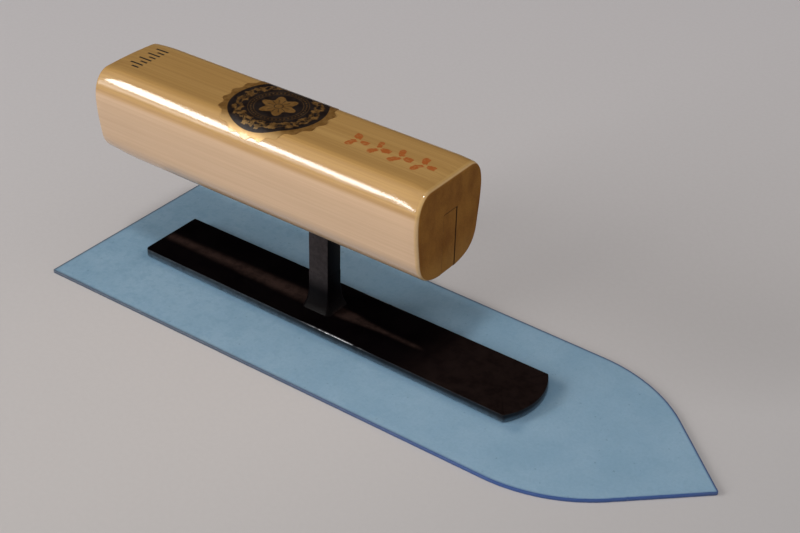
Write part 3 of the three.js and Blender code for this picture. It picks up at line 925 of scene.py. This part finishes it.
def make_neck(paint):
    """One bent bar: up from the seat, round the bend, then back inside the grip and tapering."""
    top_z, under_z = TANG_HIGH.z, TANG_HIGH.z - TANG_HEIGHT
    end_top_z = top_z - TANG_HEIGHT * (1 - TANG_END_SCALE) / 2
    end_under_z = end_top_z - TANG_HEIGHT * TANG_END_SCALE
    bent_x = NECK_FRONT_X - TANG_OUTER_BEND, NECK_REAR_X - TANG_INNER_BEND
    half = NECK_WIDTH / 2
    neck_steps, bend_steps, tang_steps = 8, 8, 6
    stations = []
    for k in range(neck_steps + 1):
        z = lerp(TANG_LOW.z, under_z - TANG_INNER_BEND, k / neck_steps)
        stations.append(((NECK_FRONT_X, z), (NECK_REAR_X, z), half))
    for k in range(bend_steps + 1):
        angle = math.pi / 2 * k / bend_steps
        outer = (NECK_FRONT_X - TANG_OUTER_BEND * (1 - math.cos(angle)),
                 top_z - TANG_OUTER_BEND * (1 - math.sin(angle)))
        inner = (NECK_REAR_X - TANG_INNER_BEND * (1 - math.cos(angle)),
                 under_z - TANG_INNER_BEND * (1 - math.sin(angle)))
        stations.append((outer, inner, half))
    for k in range(1, tang_steps + 1):
        share = k / tang_steps
        outer = (lerp(bent_x[0], TANG_LOW.x, share), lerp(top_z, end_top_z, share))
        inner = (lerp(bent_x[1], TANG_LOW.x, share), lerp(under_z, end_under_z, share))
        stations.append((outer, inner, half * lerp(1, TANG_END_SCALE, share)))
    rings = []
    for outer, inner, half_width in stations:
        length = math.dist(outer, inner)
        ring = []
        for a, b in rounded_rectangle(length / 2, half_width, NECK_ROUNDING):
            share = 0.5 + a / length
            ring.append(Vector((lerp(inner[0], outer[0], share), b, lerp(inner[1], outer[1], share))))
        rings.append(ring)
    neck = mesh_from_rings("steel_neck_and_tang", rings, values=unworn(rings))
    finish_piece(neck, "neck_tang", paint)


def unworn(rings):
    """Wear attributes for a piece whose paint is whole."""
    return {"edge": [0.0] * len(rings), "crease": [0.0] * len(rings)}


def make_weld(paint):
    """The forged-looking foot: concave flanks that run out onto the crown."""
    spread = (WELD_HIGH.x - WELD_LOW.x - NECK_LENGTH) / 2 * WELD_SPREAD_SHARE
    rings = []
    steps = 14
    for k in range(steps + 1):
        rise = k / steps
        reach = WELD_LIP + (spread - WELD_LIP) * (1 - rise) ** WELD_FLANK_POWER
        rings.append(weld_ring(reach, rise, NECK_ROUNDING + WELD_CORNER_SHARE * reach))
    for rise in (1.0, 0.0):
        rings.append(weld_ring(WELD_INNER_GAP, rise, NECK_ROUNDING))
    weld = mesh_from_rings("neck_weld_foot", rings, closed=True, values=unworn(rings))
    finish_piece(weld, "neck_weld", paint)


def weld_ring(reach, rise, corner_radius):
    """A ring that lies reach outside the neck, rise (0 to 1) of the way from the crown to the top."""
    ring = []
    for a, b in rounded_rectangle(NECK_LENGTH / 2 + reach, NECK_WIDTH / 2 + reach, corner_radius, steps=6):
        x = NECK_X + a
        foot_z = bar_top(x, b) - WELD_SINK
        ring.append(Vector((x, b, lerp(foot_z, WELD_HIGH.z, rise))))
    return ring


def grip_half_section(grow=0.0):
    """The grip's half section (y, z) from the middle of its flat top to the middle of its underside."""
    top = GRIP_HIGH.z + grow
    bottom = GRIP_LOW.z - grow
    side = GRIP_HIGH.y + grow
    flat_steps, steps = 5, 16
    widest = (side, GRIP_WIDEST_Z)
    waist = (side - GRIP_WAIST_INSET, GRIP_WAIST_Z)
    underside_edge = (GRIP_UNDERSIDE_HALF, bottom)
    shoulder_handles = (10 * MM, top), (side - 0.2 * MM, 52.5 * MM)
    flank_handles = (side, 43.3 * MM), (side - 0.45 * MM, 40.8 * MM)
    belly_handles = (side - 1.4 * MM, 33 * MM), (9.6 * MM, bottom + 0.5 * MM)
    points = [(GRIP_FLAT_HALF * k / flat_steps, top) for k in range(flat_steps + 1)]
    points += bezier(points[-1], *shoulder_handles, widest, steps)
    points += bezier(widest, *flank_handles, waist, steps)
    points += bezier(waist, *belly_handles, underside_edge, steps)
    points.append((0.0, bottom))
    return points


def grip_ring(x, grow):
    """The section at x, sanded down a little towards both ends.

    The rear's top is also arched from side to side, and its lower edge runs up.
    """
    half = grip_half_section(grow)
    mirrored = [(-y, z) for y, z in half[-2:0:-1]]
    from_rear, from_front = x - GRIP_LOW.x, GRIP_HIGH.x - x
    sanded = 1 - smooth(0, GRIP_SANDED_LENGTH, min(from_rear, from_front))
    rear_sanded = 1 - smooth(0, GRIP_REAR_SANDED_LENGTH, from_rear)
    ring = []
    for y, z in half + mirrored:
        height = max(0.0, (z - GRIP_WIDEST_Z) / (GRIP_HIGH.z - GRIP_WIDEST_Z))
        depth = max(0.0, (GRIP_WIDEST_Z - z) / (GRIP_WIDEST_Z - GRIP_LOW.z))
        arch = GRIP_REAR_ARCH * min(1.0, (y / GRIP_FLAT_HALF) ** 2)
        drop = (GRIP_TOP_DROP * sanded + arch * rear_sanded) * height
        lift = GRIP_REAR_LIFT * rear_sanded * depth ** 3
        ring.append(Vector((x, y, z - drop + lift)))
    return ring


def grip_blank():
    """The whole grip with rounded ends, before its slot is cut."""
    rear = [(GRIP_REAR_ROUNDING + GRIP_END_MARGIN, 0.0)] + rounding(GRIP_REAR_ROUNDING, steps=6)
    front = [(GRIP_FRONT_ROUNDING + GRIP_END_MARGIN, 0.0)] + rounding(GRIP_FRONT_ROUNDING, steps=5)
    rings = []
    for inset, depth in rear:
        rings.append(grip_ring(GRIP_LOW.x + depth, -inset))
    body_steps = 32
    start = GRIP_LOW.x + GRIP_REAR_ROUNDING
    end = GRIP_HIGH.x - GRIP_FRONT_ROUNDING
    for k in range(1, body_steps):
        rings.append(grip_ring(lerp(start, end, k / body_steps), 0.0))
    for inset, depth in reversed(front):
        rings.append(grip_ring(GRIP_HIGH.x - depth, -inset))
    return mesh_from_rings("wooden_handle", rings)


def make_handle():
    """The grip, slotted from its front end back to the neck and bored on from there for the tang."""
    handle = grip_blank()
    slot_rear = NECK_REAR_X - FIT_GAP
    bore_rear = TANG_LOW.x - CUT_MARGIN
    bore_low = TANG_HIGH.z - TANG_HEIGHT - TANG_INNER_BEND - FIT_GAP
    below, beyond = GRIP_LOW.z - CUT_MARGIN, GRIP_HIGH.x + CUT_MARGIN
    profile = [
        (slot_rear, below), (beyond, below), (beyond, SLOT_TOP_Z),
        (bore_rear, SLOT_TOP_Z), (bore_rear, bore_low), (slot_rear, bore_low),
    ]
    sides = [[Vector((x, y, z)) for x, z in profile] for y in (-SLOT_HALF, SLOT_HALF)]
    cutter = mesh_from_rings("cutter", sides)
    cut = handle.modifiers.new("slot", "BOOLEAN")
    cut.operation = "DIFFERENCE"
    cut.solver = "EXACT"
    cut.object = cutter
    evaluated = handle.evaluated_get(bpy.context.evaluated_depsgraph_get())
    mesh = bpy.data.meshes.new_from_object(evaluated)
    handle.modifiers.clear()
    handle.data = mesh
    bpy.data.objects.remove(cutter)
    smooth_shading(mesh)
    finish_piece(handle, "handle_body", lacquered_wood("lacquered_wood", printed=True))


def make_filler():
    """The strip that closes the slot in front of the neck, set against the slot's near wall."""
    near_y, far_y = -SLOT_HALF + FILLER_GLUE_GAP, FILLER_FAR_Y
    middle_y, half_y = (near_y + far_y) / 2, (far_y - near_y) / 2
    steps = 6
    straight_end = FILLER_HIGH.x - FILLER_STRAIGHT_END
    stations = [(lerp(FILLER_LOW.x, straight_end, k / steps), FILLER_LOW.z) for k in range(steps + 1)]
    for inset, depth in reversed(rounding(GRIP_FRONT_ROUNDING, steps=4)):
        stations.append((FILLER_HIGH.x - depth, max(FILLER_LOW.z, GRIP_LOW.z + inset + FILLER_INSET)))
    rings = []
    for x, low_z in stations:
        middle_z, half_z = (low_z + FILLER_HIGH.z) / 2, (FILLER_HIGH.z - low_z) / 2
        ring = rounded_rectangle(half_y, half_z, FILLER_ROUNDING)
        rings.append([Vector((x, middle_y + a, middle_z + b)) for a, b in ring])
    filler = mesh_from_rings("slot_filler_strip", rings)
    finish_piece(filler, "slot_filler", lacquered_wood("filler_wood"))


def along_section(points, distance):
    """The point at this distance along a run of points."""
    for here, there in zip(points, points[1:]):
        step = math.dist(here, there)
        if distance <= step:
            share = distance / step
            return lerp(here[0], there[0], share), lerp(here[1], there[1], share)
        distance -= step
    return points[-1]


def label_point(radius, angle, grow):
    """A point of the flat disc, laid over the grip's section."""
    along = LABEL_OFFSET_Y + radius * math.sin(angle)
    y, z = along_section(grip_half_section(grow), abs(along))
    return Vector((LABEL_X + radius * math.cos(angle), math.copysign(y, along), z))


def make_label():
    """A scalloped foil disc, wrapped over the grip's flat top and both rounded shoulders."""
    steps_per_scallop, rows = 10, 16
    segments = LABEL_SCALLOPS * steps_per_scallop
    form = bmesh.new()
    disc_x = form.verts.layers.float.new("disc_x")
    disc_y = form.verts.layers.float.new("disc_y")

    def add(share, angle, grow):
        radius = share * (LABEL_RADIUS + LABEL_SCALLOP_DEPTH * math.cos(LABEL_SCALLOPS * angle))
        vertex = form.verts.new(label_point(radius, angle, grow))
        vertex[disc_x] = radius * math.cos(angle) / MM
        vertex[disc_y] = radius * math.sin(angle) / MM
        return vertex

    angles = [2 * math.pi * k / segments for k in range(segments)]
    around = [(k, (k + 1) % segments) for k in range(segments)]
    rims = []
    for grow in (LABEL_GAP, LABEL_GAP + LABEL_THICKNESS):
        rings = [[add(row / rows, angle, grow) for angle in angles] for row in range(1, rows + 1)]
        centre = add(0.0, 0.0, grow)
        for k, after in around:
            form.faces.new((centre, rings[0][k], rings[0][after]))
        for inner, outer in zip(rings, rings[1:]):
            for k, after in around:
                form.faces.new((inner[k], outer[k], outer[after], inner[after]))
        rims.append(rings[-1])
    under, over = rims
    for k, after in around:
        form.faces.new((under[k], under[after], over[after], over[k]))
    finish_piece(piece_from_form("foil_label", form), "label_seal", foil_label())


# ------------------------------ stage

CAMERA_TARGET = Vector((-19.21, 30.13, 0.0)) * MM
CAMERA_AZIMUTH = math.radians(35.226)
CAMERA_ELEVATION = math.radians(33.568)
CAMERA_DISTANCE = 405.2 * MM
CAMERA_ROLL = math.radians(1.72)
CAMERA_LENS = 67.5
CAMERA_CLIP_START = 10 * MM

FLOOR_HALF = 2.0
FLOOR_DROP = 0.05 * MM

WALL_FACES = (0.98, -0.2, 0.0)
WINDOW_X, WINDOW_Y = -0.95, -1.81
WINDOW_WIDTH = 2.8
UPPER_PANE = {"z": 0.48, "height": 0.25, "radiance": 14.6}
LOWER_PANE = {"z": 0.23, "height": 0.14, "radiance": 3.0}
LAMP_TOWARDS = Vector((0.07, -0.28, 0.96))
LAMP_DISTANCE = 2.0
LAMP_SIZE = 0.24
LAMP_RADIANCE = 45.0
LIGHT_COLOUR = (1.0, 0.97, 0.95)
ROOM_COLOUR = (1.0, 0.95, 0.93, 1.0)
ROOM_LIGHT = 0.51
DARK_SIDE = (-0.479, 0.684, 0.55)
DARK_SIDE_FADE = (0.45, 0.9)
DARK_SIDE_LIGHT = 0.012


def make_camera():
    data = bpy.data.cameras.new("camera")
    data.lens = CAMERA_LENS
    data.clip_start = CAMERA_CLIP_START
    camera = add_object("camera", data)
    level = math.cos(CAMERA_ELEVATION)
    back = Vector((
        math.sin(CAMERA_AZIMUTH) * level,
        -math.cos(CAMERA_AZIMUTH) * level,
        math.sin(CAMERA_ELEVATION),
    ))
    camera.location = CAMERA_TARGET + back * CAMERA_DISTANCE
    camera.rotation_mode = "QUATERNION"
    roll = Quaternion((0, 0, 1), CAMERA_ROLL)
    camera.rotation_quaternion = (-back).to_track_quat("-Z", "Y") @ roll
    bpy.context.scene.camera = camera


def make_floor():
    mesh = bpy.data.meshes.new("floor")
    signs = ((-1, -1), (1, -1), (1, 1), (-1, 1))
    corners = [(a * FLOOR_HALF, b * FLOOR_HALF, -FLOOR_DROP) for a, b in signs]
    mesh.from_pydata(corners, [], [(0, 1, 2, 3)])
    mesh.materials.append(floor_paper())
    add_object("floor", mesh)


def add_light(name, place, towards, width, height, radiance):
    """A rectangular light at a place, facing along a direction, equally bright whatever its size."""
    data = bpy.data.lights.new(name, "AREA")
    data.shape = "RECTANGLE"
    data.size = width
    data.size_y = height
    data.energy = radiance * math.pi * width * height
    data.color = LIGHT_COLOUR
    light = add_object(name, data)
    light.location = place
    light.rotation_mode = "QUATERNION"
    light.rotation_quaternion = Vector(towards).to_track_quat("-Z", "Y")


def make_lights():
    """A window of two long panes on the left wall, and a lamp overhead."""
    for name, pane in (("window_upper_pane", UPPER_PANE), ("window_lower_pane", LOWER_PANE)):
        place = (WINDOW_X, WINDOW_Y, pane["z"])
        add_light(name, place, WALL_FACES, WINDOW_WIDTH, pane["height"], pane["radiance"])
    lamp_place = LAMP_TOWARDS * LAMP_DISTANCE
    add_light("overhead_lamp", lamp_place, -LAMP_TOWARDS, LAMP_SIZE, LAMP_SIZE, LAMP_RADIANCE)


def make_room():
    """Even light from every side but one, the dark far side that upward faces mirror to the camera."""
    world = bpy.data.worlds.new("room")
    world.use_nodes = True
    tree = world.node_tree
    place = tree.nodes.new("ShaderNodeTexCoord")
    facing = tree.nodes.new("ShaderNodeVectorMath")
    facing.operation = "DOT_PRODUCT"
    facing.inputs[1].default_value = DARK_SIDE
    strength = tree.nodes.new("ShaderNodeMapRange")
    strength.interpolation_type = "SMOOTHSTEP"
    for key, value in (("From Min", DARK_SIDE_FADE[0]), ("From Max", DARK_SIDE_FADE[1]),
                       ("To Min", ROOM_LIGHT), ("To Max", DARK_SIDE_LIGHT)):
        strength.inputs[key].default_value = value
    background = tree.nodes["Background"]
    background.inputs["Color"].default_value = ROOM_COLOUR
    tree.links.new(place.outputs["Generated"], facing.inputs[0])
    tree.links.new(facing.outputs["Value"], strength.inputs["Value"])
    tree.links.new(strength.outputs["Result"], background.inputs["Strength"])
    bpy.context.scene.world = world
    bpy.context.scene.view_settings.view_transform = "Standard"


make_camera()
make_floor()
make_lights()
make_room()
steel_paint = black_paint()
make_blade()
make_bond_layer()
make_bar(steel_paint)
make_neck(steel_paint)
make_weld(steel_paint)
make_handle()
make_filler()
make_label()
